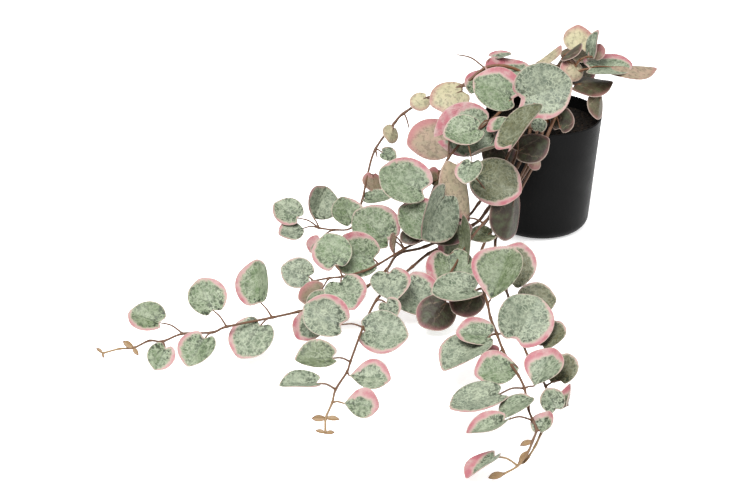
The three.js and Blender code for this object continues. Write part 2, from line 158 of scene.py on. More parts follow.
slope = (rim_radius - foot_radius) / pot_height
rim_round = pot_wall / 2
inside_round = foot_round - pot_wall
inside_foot = foot_radius + slope * (pot_floor + inside_round) - pot_wall
pot_profile = np.vstack([
    [(0, pot_floor)],
    arc(inside_foot - inside_round, pot_floor + inside_round, inside_round, -90, 0, count=8),
    arc(rim_radius - rim_round, pot_height - rim_round, rim_round, 180, 0, count=9),
    arc(foot_radius + slope * foot_round - foot_round, foot_round, foot_round, 0, -90, count=12),
    [(0, 0)],
])
black_plastic, tree, shader = new_material("black plastic", pot_black, roughness=0.42, specular=0.06)
place = add(tree, "TexCoord", {}).outputs["Object"]
handling = speckle(tree, place, scale=60, detail=4, low=0.35, high=0.75)
dull = {"Value": handling, "To Min": 0.38, "To Max": 0.5}
tree.links.new(add(tree, "MapRange", dull).outputs["Result"], shader.inputs["Roughness"])
bump(tree, shader, speckle(tree, place, scale=2600, detail=2, low=0.3, high=0.7), skin_grain)
pot = piece("pot_cup", *lathe(pot_profile, pot_sides), black_plastic)
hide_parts("pot")

# ---- Soil ----
# The compost is dark peat and bark, pressed in by hand to just under the rim.
# It is a loose crumbly crust on a body that fills the pot down to its floor, in place of the imported
# soil, and the stems are pushed down into it.
soil_low, soil_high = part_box("soil")
soil_top = 0.084
soil_gap = 0.0006
soil_sides = 96
crust_sink = 0.0009
crust_rings = 41
wide_wave = 0.00055
middle_wave = 0.00035
fine_wave = 0.0002
crumb_seed = 5
crumb_count = 420
crumb_size = 0.0011
crumb_flatness = 0.6
crumb_reach = 0.041
crumb_slope_reach = 0.0415
soil_dark = (0.0072, 0.0055, 0.0043)
soil_bark = (0.034, 0.021, 0.013)
crumb_grain = 0.0006


def crown(share):
    """Height of the smooth crust at that share of the way out: it falls as the square of the share."""
    return soil_high.z - crust_sink - (soil_high.z - soil_top) * share ** 2


def relief(x, y):
    """What the crust rises above its crown: three crossed sine waves of falling length, each bent by
    the one before."""
    wide = np.sin(260 * x + 1.3) * np.cos(310 * y - 0.4)
    middle = np.sin(730 * y + 2.1 * wide) * np.cos(690 * x + 1.7)
    fine = np.sin(1900 * x + 2.4 * middle) * np.sin(2100 * y - 0.8)
    return wide_wave * wide + middle_wave * middle + fine_wave * fine


def soil_form():
    """The crust is a disc of rings, crowned and raised by its relief, which falls to nothing at the wall.
    The body under it follows the inside of the pot down to its floor."""
    edge = foot_radius + slope * soil_top - pot_wall - soil_gap
    share = np.linspace(0, 1, crust_rings + 1)[1:]
    crust_line = np.column_stack([edge * share, crown(share)])
    base = soil_low.z + inside_round
    lower = arc(inside_foot - inside_round - soil_gap, base, inside_round, 0, -90, count=6)
    profile = np.vstack([[(0, crust_line[0, 1])], crust_line, lower, [(0, soil_low.z)]])
    vertices, faces = lathe(profile, soil_sides)
    reach = np.hypot(vertices[:, 0], vertices[:, 1]) / edge
    on_crust = vertices[:, 2] > soil_top - 2 * mm
    vertices[:, 2] += np.where(on_crust, relief(vertices[:, 0], vertices[:, 1]) * (1 - reach ** 8), 0)
    return vertices, faces


def crumbs():
    """Small lumps strewn on the crust: each is an eight-faced double pyramid, flattened, then stretched
    and turned by seeded draws, with its middle on the crust."""
    draw = np.random.default_rng(crumb_seed)
    corners = np.array([(1, 0, 0), (-1, 0, 0), (0, 1, 0), (0, -1, 0), (0, 0, 1), (0, 0, -1)])
    steps = [(0, 2), (2, 1), (1, 3), (3, 0)]
    upper = [(here, after, 4) for here, after in steps]
    lower = [(after, here, 5) for here, after in steps]
    size = crumb_size * draw.uniform(0.5, 1.5, (crumb_count, 1, 3)) * (1, 1, crumb_flatness)
    turn = draw.uniform(0, np.pi, (crumb_count, 1))
    lumps = corners * size * draw.uniform(0.8, 1.2, (crumb_count, len(corners), 1))
    east = lumps[..., 0] * np.cos(turn) - lumps[..., 1] * np.sin(turn)
    north = lumps[..., 0] * np.sin(turn) + lumps[..., 1] * np.cos(turn)
    reach = crumb_reach * np.sqrt(draw.uniform(0, 1, (crumb_count, 1)))
    bearing = draw.uniform(0, 2 * np.pi, (crumb_count, 1))
    x, y = reach * np.cos(bearing), reach * np.sin(bearing)
    z = crown(reach / crumb_slope_reach) + relief(x, y)
    points = np.stack([x + east, y + north, z + lumps[..., 2]], -1)
    first = len(corners) * np.arange(crumb_count)[:, None, None]
    return points.reshape(-1, 3), (np.array(upper + lower) + first).reshape(-1, 3)


def blend(tree, share, low, high):
    """A colour between low and high, each a socket or three numbers, at that share."""
    ends = [end if isinstance(end, bpy.types.NodeSocket) else (*end, 1) for end in (low, high)]
    inputs = {0: share, 6: ends[0], 7: ends[1]}
    return add(tree, "Mix", inputs, data_type="RGBA").outputs[2]


crust, crust_faces = soil_form()
lumps, lump_faces = crumbs()
compost, tree, shader = new_material("crumbly compost", soil_dark, roughness=0.95, specular=0.15)
place = add(tree, "TexCoord", {}).outputs["Object"]
bark = speckle(tree, place, scale=420, detail=5, low=0.52, high=0.68)
tree.links.new(blend(tree, bark, soil_dark, soil_bark), shader.inputs["Base Color"])
bump(tree, shader, speckle(tree, place, scale=900, detail=6, low=0.2, high=0.8), crumb_grain)
soil = piece("soil_crust", np.vstack([crust, lumps]),
             crust_faces + (lump_faces + len(crust)).tolist(), compost)
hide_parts("soil")

# ---- Leafy stems ----
# Each is a thin wiry vine with pairs of fleshy heart leaves, and its root goes down into the compost.
# The leaves are grey-green with dark flecks and a pink margin, and beige to dusky underneath. Painted
# shade darkens their notches, their midrib creases, the olive faces and the duskiest undersides; a
# painted sheen frosts the greyest faces, painted light through the leaf pales the cream undersides,
# and a painted cream highlight runs round each rim. They hang on thin petioles that run on as the rib.
# Young stems end in golden folded buds.
above_soil = 0.003
root_bottom = 0.062
root_bend = 0.094
stem_root = 0.0014
stem_tip = 0.0007
stem_sides = 10
stem_pitch = 0.0025
node_swell = 0.35
node_length = 0.002
amber_length = 0.12
gold_length = 0.05
surface_clearance = 0.0012

# The petiole's last part is the rib under the blade, at these shares of the blade's width from the notch.
petiole_root = 0.0007
petiole_tip = 0.0005
petiole_sides = 8
petiole_pitch = 0.0013
petiole_bow = 0.12
petiole_age = 0.08
petiole_swell = 0.5
swell_length = 0.0012
rib_start = 0.6
rib_thinning = 0.0002
rib_places = (0.02, 0.1, 0.2)
rib_depths = (-0.0004, -0.0003, -0.0001)

# The outline, fold, cup and wave, and the rib's width and end, are on a blade one unit wide. The pink
# margin narrows away from its bearing, and where it is gone it ends thin_margin millimetres off the rim.
blade_lean = 36
blade_thickness = 0.00062
blade_sides = 44
blade_rings = 17
blade_middle = 0.3
half_width = 0.5
oval_middle = 0.36
oval_reach = 0.52
notch_depth = 0.16
notch_width = 0.25
tip_length = 0.045
tip_width = 0.3
taper_spread = 1.15
blade_fold = 0.22
turned_fold = 0.12
fold_round = 0.04
blade_cup = 0.1
blade_wave = 0.02
wave_count = 3
rib_height = 0.0004
rib_width = 0.018
rib_end = 0.8
margin_falloff = 1.6
thin_margin = 0.5

bud_slimness = 0.36
bud_reach = 0.44
bud_fullness = 0.25
bud_fold = 0.5
bud_sink = 0.12
bud_pink = (0, 0.03)

# The numbers of a leafy stem's two materials, and how far their patterns are shifted, in millimetres.
leaf_skin, stem_bark = 0, 1
pattern_shift = 90

# How far the seeded draws spread each value, and how they are drawn.
fold_spread = 0.12
cup_spread = 0.22
wave_spread = 0.012
lean_spread = 4
turn_spread = 8
bud_cup_spread = 0.1
bud_turn_spread = 20
seeds_per_stem = 100
seed_factor = 2654435761
draw_factor = 1664525
draw_step = 1013904223
draw_range = 2 ** 32
fleck_seed = 7


def knot(x, y, z, *grown):
    """A node of the stem: its place, and the leaves and buds that grow from it."""
    leaves = [g for g in grown if "petiole" in g]
    buds = [g for g in grown if "petiole" not in g]
    return np.array([x, y, z]), leaves, buds


def rooted(x, y, *knots):
    """A stem's places below its knots, straight over one another: its root's foot, just over the compost
    and where it bends; and its knots."""
    return [(x, y, root_bottom), (x, y, soil_top + above_soil), (x, y, root_bend)], knots


def leaf(petiole, toward, width, aim, lean=blade_lean, turn=0, rise=4, taper=0,
         pink=(0, 0.04), back=0.5, tone=None):
    """A leaf: its petiole's length and bearing, its blade's width and the bearing of its tip, how far
    it leans from level, how far it is turned on its rib, how steeply the petiole rises, and how far its
    base tapers, from a heart at 0 to a spoon at 1; then the bearing of its pink margin and the margin's
    breadth as a share of the blade's, how dusky its underside is, from cream at 0, partly painted light
    through the leaf, to dusk at 1, partly painted shade, and the tone of its face, from frosted grey at 0,
    partly a painted sheen, through green at 1 to olive at 2, partly painted shade, or left to a seeded
    draw. With no width it is a bare petiole."""
    return dict(petiole=petiole, toward=toward, width=width, aim=aim, lean=lean, turn=turn,
                rise=rise, taper=taper, pink=pink, back=back, tone=tone)


def bud(aim, length):
    """A small folded leaf: its bearing and length."""
    return dict(aim=aim, length=length)


# Bearings are in the leaning plane: 0 is right, 90 is up and to the back.
# A leaf's back and tone also paint light and shade: a high back or a tone near 2 darkens a leaf that lies
# in shade, a low back pales an underside lit through, and a tone near 0 frosts a face with a painted sheen.
stems = {}
stems["left_trail"] = rooted(
    -.011, -.005,
    knot(-.016, -.034, .106),
    knot(-.023, -.055, .084),
    knot(-.036, -.061, .056),
    knot(-.046, -.07, .042),
    knot(-.057, -.077, .033),
    knot(-.092, -.098, .026),
    knot(-.112, -.112, .027),
    knot(-.121, -.14, .028, leaf(.012, 277, .029, 280, lean=20, rise=35, pink=(20, .1))),
    knot(-.135, -.16, .025),
    knot(-.15, -.171, .023, leaf(.008, 200, .024, 215, lean=30, pink=(70, .08), tone=.8)),
    knot(-.166, -.184, .023),
    knot(-.182, -.197, .025, leaf(.015, 338, .023, 228, pink=(200, .22))),
    knot(-.199, -.207, .026,
         leaf(.013, 130, .034, 96, lean=42, turn=-36, taper=.3, pink=(172, .13), tone=.9),
         leaf(.01, 218, .031, 240, pink=(190, .13))),
    knot(-.229, -.22, .026, leaf(.015, 130, .027, 114, pink=(60, .12))),
    knot(-.238, -.226, .025, leaf(.007, 222, .026, 244, turn=14, pink=(165, .15), tone=.8)),
    knot(-.258, -.226, .024, leaf(.018, 153, .025, 160, lean=30, pink=(238, .15), tone=1.3)),
    knot(-.271, -.233, .022, leaf(.005, 295, .019, 250, lean=40, pink=(345, .2), tone=.8)),
    knot(-.281, -.225, .018),
    knot(-.292, -.226, .013, bud(145, .012), bud(305, .009)),
    knot(-.302, -.22, .009),
    knot(-.314, -.221, .006, bud(140, .008), bud(290, .005)),
)
stems["front_trail"] = rooted(
    -.005, -.009,
    knot(-.011, -.037, .105),
    knot(-.019, -.06, .084),
    knot(-.033, -.066, .057),
    knot(-.042, -.076, .044),
    knot(-.052, -.084, .034),
    knot(-.072, -.092, .027),
    knot(-.09, -.102, .022),
    knot(-.102, -.121, .021),
    knot(-.116, -.149, .022, leaf(.009, 10, .035, 296, pink=(20, .15))),
    knot(-.128, -.176, .023, leaf(.007, 340, .016, 300, lean=30, pink=(40, .12))),
    knot(-.137, -.219, .025,
         leaf(.015, 175, .031, 152, lean=40, pink=(60, .14)),
         leaf(.003, 285, .033, 350, pink=(262, .12), tone=.3)),
    knot(-.145, -.262, .023, leaf(.012, 168, .027, 182, lean=30, turn=10, pink=(100, .06), tone=1.4)),
    knot(-.147, -.273, .022,
         leaf(.003, 290, .03, 352, lean=30, turn=-12, taper=1, pink=(60, .18), tone=.4)),
    knot(-.154, -.292, .02, leaf(.013, 174, .026, 184, lean=0, rise=18, pink=(270, .08), tone=.2)),
    knot(-.156, -.303, .017, leaf(.007, 355, .025, 354, turn=-6, taper=1, pink=(45, .26), tone=.6)),
    knot(-.16, -.311, .01, bud(180, .012), bud(355, .012)),
    knot(-.16, -.322, .006, bud(165, .009), bud(5, .008)),
)
stems["short_trail"] = rooted(
    -.013, .002,
    knot(-.021, -.03, .107),
    knot(-.028, -.05, .084),
    knot(-.041, -.056, .057),
    knot(-.052, -.066, .046),
    knot(-.063, -.084, .042),
    knot(-.093, -.106, .036),
    knot(-.108, -.118, .034,
         leaf(.013, 148, .035, 140, lean=42, pink=(40, .12), tone=.9),
         leaf(.011, 130, .015, 262, turn=115, rise=30, pink=(200, .2), back=.25)),
    knot(-.127, -.141, .033, leaf(.005, 127, .034, 170, lean=42, pink=(120, .17), tone=.9)),
    knot(-.138, -.15, .032),
    knot(-.152, -.158, .032,
         leaf(.01, 118, .029, 106, pink=(200, .12)),
         leaf(.01, 262, .03, 292, lean=20, rise=25, pink=(340, .15))),
    knot(-.161, -.158, .031, leaf(.01, 243, .021, 210, turn=180, pink=(150, .2), back=.55)),
    knot(-.173, -.159, .029, leaf(.004, 130, .023, 160, lean=42, pink=(160, .06))),
)
stems["back_arch"] = rooted(
    -.007, .009,
    knot(-.014, .013, .117),
    knot(-.029, .013, .125),
    knot(-.045, .012, .124,
         leaf(.019, 68, .018, 31, lean=6, pink=(118, .34), back=.2),
         leaf(.017, 319, .034, 70, lean=12, rise=-14, pink=(120, .3)),
         leaf(.024, 152, 0, 150)),
    knot(-.063, .008, .111,
         leaf(.005, 280, .03, 205, turn=180, pink=(200, .12), back=.04),
         leaf(.013, 330, .022, 78, pink=(100, .3))),
    knot(-.087, .005, .103, leaf(.003, 190, .016, 215, turn=180, pink=(250, .14), back=.04)),
    knot(-.107, .002, .091, leaf(.015, 285, 0, 290)),
    knot(-.114, 0, .084, leaf(.005, 255, .015, 256, turn=150, pink=(300, .1), back=.1)),
    knot(-.129, -.01, .066,
         leaf(.006, 330, .013, 340, pink=(0, .08)),
         leaf(.008, 280, 0, 270)),
    knot(-.135, -.03, .053, leaf(.004, 10, .017, 275, turn=150, pink=(100, .3), back=.5)),
    knot(-.139, -.052, .042, leaf(.003, 40, .021, 2, lean=2, pink=(0, .05))),
    knot(-.146, -.075, .031, leaf(.003, 100, .025, 111, pink=(45, .07), tone=1.2)),
    knot(-.159, -.076, .029, leaf(.014, 218, .015, 240, pink=(150, .5))),
    knot(-.171, -.071, .028,
         leaf(.018, 155, .023, 148, lean=45, pink=(240, .12)),
         leaf(.009, 118, .03, 70, turn=38, taper=.6, pink=(160, .1)),
         leaf(.012, 184, .022, 208, lean=14, taper=.6, pink=(200, .12), tone=0)),
)
stems["upper"] = rooted(
    -.007, .002,
    knot(-.019, -.01, .114),
    knot(-.032, -.026, .107, leaf(.01, 45, .037, 150, lean=42, pink=(60, .2), tone=.9)),
    knot(-.043, -.04, .102,
         leaf(.006, 230, .043, 193, lean=50, pink=(150, .24), tone=.5),
         leaf(.022, 236, .029, 196, turn=10, rise=33, pink=(200, .06), tone=.8),
         leaf(.024, 303, .036, 200, lean=60, turn=72, rise=32, pink=(180, .05), tone=.3),
         leaf(.016, 287, .026, 285, lean=60, turn=180, rise=-20, pink=(0, .04), back=1)),
    knot(-.063, -.054, .092, leaf(.039, 277, .021, 252, turn=14, rise=32, pink=(180, .14))),
    knot(-.075, -.066, .083, leaf(.022, 88, .036, 200, turn=180, rise=0, pink=(135, .2), back=.36)),
    knot(-.084, -.08, .071,
         leaf(.019, 231, .038, 155, lean=42, rise=32, pink=(60, .12)),
         leaf(.009, 80, .016, 262, turn=140, pink=(90, .4), back=.6)),
    knot(-.091, -.096, .059,
         leaf(.021, 284, .032, 152, lean=42, rise=15, pink=(80, .12), tone=.9),
         leaf(.02, 5, .042, 243, lean=40, turn=-50, rise=52, pink=(180, .06), tone=.2)),
    knot(-.097, -.11, .048, leaf(.004, 250, .016, 215, lean=30, turn=180, pink=(0, .04), back=1)),
)
stems["middle"] = rooted(
    0, -.011,
    knot(-.006, -.04, .104),
    knot(-.015, -.066, .084, leaf(.005, 340, .011, 250, turn=165, pink=(270, .5), back=.2)),
    knot(-.028, -.078, .062),
    knot(-.039, -.086, .051,
         leaf(.028, 123, .037, 338, lean=52, rise=12, pink=(300, .12), tone=1.8),
         leaf(.014, 34, .035, 260, lean=60, turn=130, pink=(0, .04), back=.97),
         leaf(.045, 133, .046, 286, lean=62, turn=110, rise=12, pink=(260, .1), back=.2)),
    knot(-.05, -.1, .046, leaf(.014, 165, .038, 192, lean=30, turn=180, pink=(0, .04), back=1)),
    knot(-.059, -.112, .04, leaf(.014, 126, .042, 274, lean=60, turn=66, pink=(180, .16), tone=1.6)),
    knot(-.066, -.123, .034, leaf(.011, 195, .035, 275, pink=(215, .2), tone=1.3)),
    knot(-.074, -.14, .028),
    knot(-.083, -.16, .024, leaf(.016, 285, .028, 225, turn=180, rise=25, pink=(220, .1), back=.95)),
)
stems["front_spray"] = rooted(
    .003, -.002,
    knot(-.003, -.024, .114, leaf(.021, 190, .043, 18, lean=56, rise=32, pink=(250, .14), tone=0)),
    knot(-.015, -.044, .112, leaf(.014, 222, .024, 199, lean=60, turn=60, taper=.6, pink=(212, .2))),
    knot(-.024, -.058, .102,
         leaf(.031, 247, .044, 53, lean=50, turn=-67, rise=46, pink=(250, .1), tone=1.8),
         leaf(.019, 267, .027, 20, lean=62, turn=150, rise=29, pink=(20, .05), back=1),
         leaf(.015, 352, .012, 80, rise=10, pink=(180, .05))),
)
stems["right_trail"] = rooted(
    .006, -.009,
    knot(-.001, -.037, .104),
    knot(-.011, -.061, .083),
    knot(-.025, -.07, .06),
    knot(-.035, -.079, .044),
    knot(-.045, -.094, .035, leaf(.003, 300, .02, 200, lean=2, pink=(0, .04), tone=1.7)),
    knot(-.053, -.124, .033),
    knot(-.054, -.155, .034),
    knot(-.054, -.178, .033,
         leaf(.006, 205, .034, 193, lean=12, pink=(280, .06), tone=.3),
         leaf(.005, 200, .025, 224, turn=180, rise=0, pink=(240, .05), back=.95)),
    knot(-.052, -.199, .032,
         leaf(.003, 60, .045, 68, lean=46, turn=-36, taper=1, pink=(150, .1), tone=1.3)),
    knot(-.051, -.217, .031),
    knot(-.048, -.237, .03,
         leaf(.013, 341, .038, 62, pink=(315, .13), tone=.2),
         leaf(.005, 205, .025, 172, lean=20, pink=(130, .18), tone=.7),
         leaf(.009, 213, .04, 217, lean=30, turn=30, taper=.3, pink=(200, .06), tone=.2)),
    knot(-.045, -.255, .028,
         leaf(.006, 150, .017, 222, lean=30, turn=122, rise=-70, pink=(60, .3), back=1)),
    knot(-.041, -.272, .027, leaf(.006, 330, .032, 190, lean=26, taper=.8, pink=(140, .14))),
    knot(-.037, -.284, .026),
    knot(-.034, -.299, .025,
         leaf(.017, 196, .036, 198, turn=28, pink=(250, .08), tone=.1),
         leaf(.006, 11, .032, 60, turn=-26, taper=1, pink=(95, .2), tone=.4)),
    knot(-.033, -.321, .023,
         leaf(.008, 78, .026, 216, turn=44, rise=26, taper=.4, pink=(100, .06), tone=.5)),
    knot(-.031, -.331, .021, leaf(.021, 193, .028, 208, turn=40, rise=28, pink=(130, .2), tone=.5)),
    knot(-.029, -.337, .018, leaf(.002, 330, .016, 62, turn=-30, pink=(80, .28), tone=.4)),
    knot(-.032, -.344, .014, bud(200, .011)),
    knot(-.035, -.351, .011, bud(230, .012)),
    knot(-.042, -.362, .008, leaf(.015, 157, .025, 218, turn=50, pink=(150, .34), tone=.3)),
    knot(-.051, -.368, .006, bud(195, .013)),
)
stems["right_back_trail"] = rooted(
    .011, -.004,
    knot(.006, -.034, .104, leaf(.011, 285, .018, 70, lean=60, turn=180, pink=(0, .04), back=1)),
    knot(-.007, -.055, .082),
    knot(-.021, -.062, .055),
    knot(-.032, -.069, .037),
    knot(-.04, -.09, .03),
    knot(-.041, -.125, .027),
    knot(-.037, -.165, .025, leaf(.006, 60, .033, 74, lean=42, turn=-12, pink=(50, .14), tone=2)),
    knot(-.033, -.204, .024, leaf(.014, 70, .026, 3, pink=(80, .07), tone=2)),
    knot(-.03, -.241, .023, leaf(.012, 0, .024, 52, turn=-20, pink=(60, .06), tone=2)),
    knot(-.028, -.256, .023),
    knot(-.024, -.273, .023),
    knot(-.02, -.293, .023, leaf(.01, 20, .022, 74, turn=-24, pink=(80, .06), tone=2)),
    knot(-.018, -.31, .02,
         leaf(.006, 305, .016, 112, lean=40, rise=30, pink=(90, .1), tone=.3),
         leaf(.01, 350, .017, 74, turn=-60, pink=(60, .4), tone=1.5)),
    knot(-.021, -.323, .016),
    knot(-.026, -.334, .013),
    knot(-.03, -.343, .01),
    knot(-.035, -.353, .008, bud(215, .011)),
)
stems["crown_right"] = rooted(
    .008, .002,
    knot(.013, -.002, .108),
    knot(.018, 0, .116,
         leaf(.005, 330, .033, 10, lean=14, turn=180, pink=(280, .05), back=.88),
         leaf(.026, 334, .02, 262, lean=50, turn=142, pink=(270, .05), back=.8)),
    knot(.021, .001, .122,
         leaf(.014, 2, .036, 6, lean=8, rise=26, pink=(80, .2)),
         leaf(.03, 0, .038, 2, lean=-16, turn=180, rise=12, pink=(90, .25), back=.35)),
    knot(.023, .002, .129,
         leaf(.012, 152, .024, 47, turn=128, pink=(300, .04), back=.9),
         leaf(.005, 100, .019, 262, turn=155, pink=(150, .3), back=.15)),
    knot(.026, .003, .134,
         leaf(.01, 14, .023, 80, lean=60, turn=-73, pink=(0, .15)),
         leaf(.011, 8, .014, 66, lean=50, turn=150, pink=(60, .6), back=.4)),
)
stems["crown_back"] = rooted(
    .004, .014,
    knot(.006, .021, .108,
         leaf(.016, 30, .03, 40, lean=20, turn=180, pink=(0, .05), back=1),
         leaf(.012, 165, .024, 110, lean=12, pink=(60, .1))),
    knot(.012, .027, .12,
         leaf(.017, 175, .027, 37, lean=60, turn=114, pink=(110, .26), back=.14),
         leaf(.016, 40, .026, 60, lean=10, turn=180, pink=(0, .05), back=.6)),
    knot(.017, .029, .128, leaf(.014, 26, .025, 90, turn=180, pink=(70, .2), back=0)),
)


def dice(seed):
    """Seeded draws from -1 to 1 by a linear congruence, the same ones on every run."""
    state = [(seed * seed_factor) % draw_range]

    def draw():
        state[0] = (state[0] * draw_factor + draw_step) % draw_range
        return 2 * state[0] / draw_range - 1
    return draw


def smooth_line(points, pitch):
    """A smooth line through the points, at an even pitch: between two points a cubic whose slope at each
    is half the step from the point before it to the point after it. Gives the places and their lengths."""
    points = np.asarray(points, float)
    padded = np.vstack([2 * points[0] - points[1], points, 2 * points[-1] - points[-2]])
    fine_steps = 40 * (len(points) - 1)
    place = np.linspace(0, len(points) - 1, fine_steps + 1)
    index = np.minimum(place.astype(int), len(points) - 2)
    u = (place - index)[:, None]
    before, start, end, after = (padded[index + k] for k in range(4))
    leaving, arriving = (end - before) / 2, (after - start) / 2
    line = (start * (2 * u ** 3 - 3 * u ** 2 + 1) + end * (3 * u ** 2 - 2 * u ** 3)
            + leaving * (u ** 3 - 2 * u ** 2 + u) + arriving * (u ** 3 - u ** 2))
    run = np.concatenate([[0], np.cumsum(np.linalg.norm(np.diff(line, axis=0), axis=1))])
    even = np.linspace(0, run[-1], max(int(run[-1] / pitch), 4) + 1)
    return np.column_stack([np.interp(even, run, line[:, axis]) for axis in range(3)]), even


def tube(line, radius, sides):
    """Rings of that radius round each place of the line, square to it. The sides are measured from the
    direction that the line runs along least, so that the rings don't twist."""
    along = np.gradient(line, axis=0)
    along /= np.linalg.norm(along, axis=1)[:, None]
    level = np.cross(np.linalg.eigh(along.T @ along)[1][:, 0], along)
    level /= np.linalg.norm(level, axis=1)[:, None]
    lift = np.cross(level, along)
    turn = np.linspace(0, 2 * np.pi, sides, endpoint=False)[:, None]
    spread = level[:, None] * np.cos(turn) + lift[:, None] * np.sin(turn)
    return line[:, None] + spread * radius.reshape(-1, 1, 1)


def form(rings, start, end, material, **marks):
    """A closed form for a leafy stem: its vertices and faces, its material's number, and its marks,
    each of which is a number for every ring point, with a pole taking the mean of its ring."""
    shape = rings.shape[:2]
    spread = {}
    for mark, value in marks.items():
        full = np.broadcast_to(value, shape)
        spread[mark] = np.concatenate([[full[0].mean()], full.ravel(), [full[-1].mean()]])
    vertices = np.vstack([start, rings.reshape(-1, 3), end])
    return dict(vertices=vertices, faces=closed_faces(*shape), material=material, marks=spread)


def bark_form(line, run, radius, sides, age, luck):
    """A tube of bark along the line, its skin measured in millimetres along it and its edge mark telling
    its age."""
    tone, flush, shift = luck.random(3)
    return form(tube(line, radius, sides), line[0], line[-1], stem_bark, skin_x=run[:, None] / mm,
                skin_y=0, edge=age[:, None], margin=0, under=0, tone=tone, flush=flush,
                shift=pattern_shift * shift)


def outline(turn, taper):
    """The heart's outline on a blade one unit wide, notch at the origin and tip on +X: an oval, with the
    notch pushed in and the tip drawn out by bell curves of the turn. Where the base tapers, the notch is
    spread wide and the sides are drawn in towards it."""
    from_notch = np.pi - np.abs(turn)
    notch = notch_depth * np.exp(-((from_notch / (notch_width + taper_spread * taper)) ** 2))
    tip = tip_length * np.exp(-((turn / tip_width) ** 2))
    drawn_in = 1 - taper * np.exp(-((from_notch / taper_spread) ** 2))
    return oval_middle + oval_reach * np.cos(turn) + notch + tip, half_width * np.sin(turn) * drawn_in


def bud_outline(turn, taper):
    """A bud's outline on a bud one unit long: a lens, as wide as the sine squared, and widest just past
    its middle. It has no taper."""
    lens = half_width * np.sin(turn) * np.abs(np.sin(turn))
    return bud_reach * (1 + np.cos(turn)), lens * (1 + bud_fullness * np.cos(turn))


def leaning_plane(lean):
    """The plane that a blade lies in before it turns: rightwards, up the lean, and out of it."""
    lean = np.radians(lean)
    return (np.array([1.0, 0, 0]), np.array([0, np.cos(lean), np.sin(lean)]),
            np.array([0, -np.sin(lean), np.cos(lean)]))


def bearing(plane, angle):
    """The direction in the plane at that angle from its right."""
    return plane[0] * np.cos(np.radians(angle)) + plane[1] * np.sin(np.radians(angle))


def blade_frame(plane, aim, turn):
    """Along the blade, across it and out of its face, once it is turned on its rib."""
    along = bearing(plane, aim)
    across = bearing(plane, aim + 90) * np.cos(np.radians(turn)) + plane[2] * np.sin(np.radians(turn))
    return along, across, np.cross(along, across)


def blade_rise(x, y, shape):
    """How far the blade rises out of its flat plane: folded on its midrib, cupped as the square of the
    distance from its middle, and waved three times round its rim, all less its rise at the notch."""
    from_middle = x - blade_middle
    reach = from_middle ** 2 + y ** 2
    fold = shape["fold"] * (np.hypot(y, fold_round) - fold_round)
    rim_wave = shape["wave"] / half_width ** 2
    wave = rim_wave * reach * np.sin(wave_count * np.arctan2(y, from_middle) + shape["phase"])
    notch = (shape["cup"] - rim_wave * np.sin(shape["phase"])) * blade_middle ** 2
    return fold + shape["cup"] * reach + wave - notch


def blade_points(blade, x, y, offset=0):
    """Points of the blade at x along and y across it, raised by its form, and moved off its face."""
    width, slimness, axes = blade["width"], blade["slimness"], blade["axes"]
    rise = width * blade_rise(x, y, blade["shape"]) * slimness + offset
    flat = blade["base"] + axes[0] * (width * x)[..., None] + axes[1] * (width * y * slimness)[..., None]
    return flat + axes[2] * np.broadcast_to(rise, x.shape)[..., None]


def new_blade(edge_line, base, axes, width, slimness, shape):
    """A blade's outline, place and form. Its base is raised if need be until the lowest point of its rim
    clears the surface."""
    blade = dict(edge_line=edge_line, base=base, axes=axes, width=width, slimness=slimness, shape=shape)
    around = edge_line(np.linspace(-np.pi, np.pi, 61), shape["taper"])
    lowest = blade_points(blade, *around)[:, 2].min()
    blade["base"] = base + (0, 0, max(0, surface_clearance - lowest))
    return blade


def blade_form(blade, pink, material, **marks):
    """A thin closed blade. Its rings run from the middle of the upper skin out to the rim and back under
    to the middle of the lower one: they reach out as the sine of a half turn, and their offset from
    the mid-surface is its cosine, flattened so that only the rim is round. Under the blade stands a rib.
    Its pink margin is broadest at its bearing, and falls by a power of how near a rim point faces that."""
    turn = np.linspace(-np.pi, np.pi, blade_sides, endpoint=False)
    through = np.linspace(0, np.pi, blade_rings + 2)[1:-1, None]
    share, side = np.sin(through), np.cos(through)
    rim_x, rim_y = blade["edge_line"](turn, blade["shape"]["taper"])
    x, y = blade_middle + share * (rim_x - blade_middle), share * rim_y
    skin = blade_thickness / 2 * np.sign(side) * np.sqrt(np.abs(side))
    fading = np.clip(1 - x / rib_end, 0, 1) * share
    rib = rib_height * (side < 0) * np.exp(-((y / rib_width) ** 2)) * fading
    skin_middles = np.array([0.5, -0.5]) * blade_thickness
    centre = blade_points(blade, np.full(2, blade_middle), np.zeros(2), skin_middles)
    size = blade["width"] / mm
    edge = (1 - share) * np.hypot(rim_x - blade_middle, rim_y) * size
    facing = (1 + np.cos(np.arctan2(rim_y, rim_x - blade_middle) - pink[0])) / 2
    margin = size * pink[1] * facing ** margin_falloff - thin_margin
    return form(blade_points(blade, x, y, skin - rib), *centre, material, skin_x=x * size, skin_y=y * size,
                edge=edge, margin=margin, under=(1 - np.sign(side.round(2))) / 2, **marks)


def leaf_shape(row, draw):
    """How a leaf's blade is folded, cupped and waved. A turned blade is folded more, so that one half of
    it faces front."""
    fold = blade_fold + turned_fold * abs(np.sin(np.radians(2 * row["turn"])))
    return dict(fold=fold + fold_spread * draw(), cup=blade_cup + cup_spread * draw(),
                wave=blade_wave + wave_spread * draw(), phase=np.pi * draw(), taper=row["taper"])


def petiole_form(node, base, length, ends, tip, radius, age, luck):
    """A petiole that bows from the node to the base and runs through its ends, from a swelling on a stem
    of that radius. It narrows evenly to its tip's radius, and more over its last part."""
    bow = (node + base) / 2 + (0, 0, petiole_bow * length)
    line, run = smooth_line([node, bow, *ends], petiole_pitch)
    near = run / run[-1]
    swell = petiole_swell * radius * np.exp(-((run / swell_length) ** 2))
    last = np.clip((near - rib_start) / (1 - rib_start), 0, 1)
    thick = petiole_root + (tip - petiole_root) * near - rib_thinning * last
    return bark_form(line, run, thick + swell, petiole_sides, age + petiole_age * near, luck)


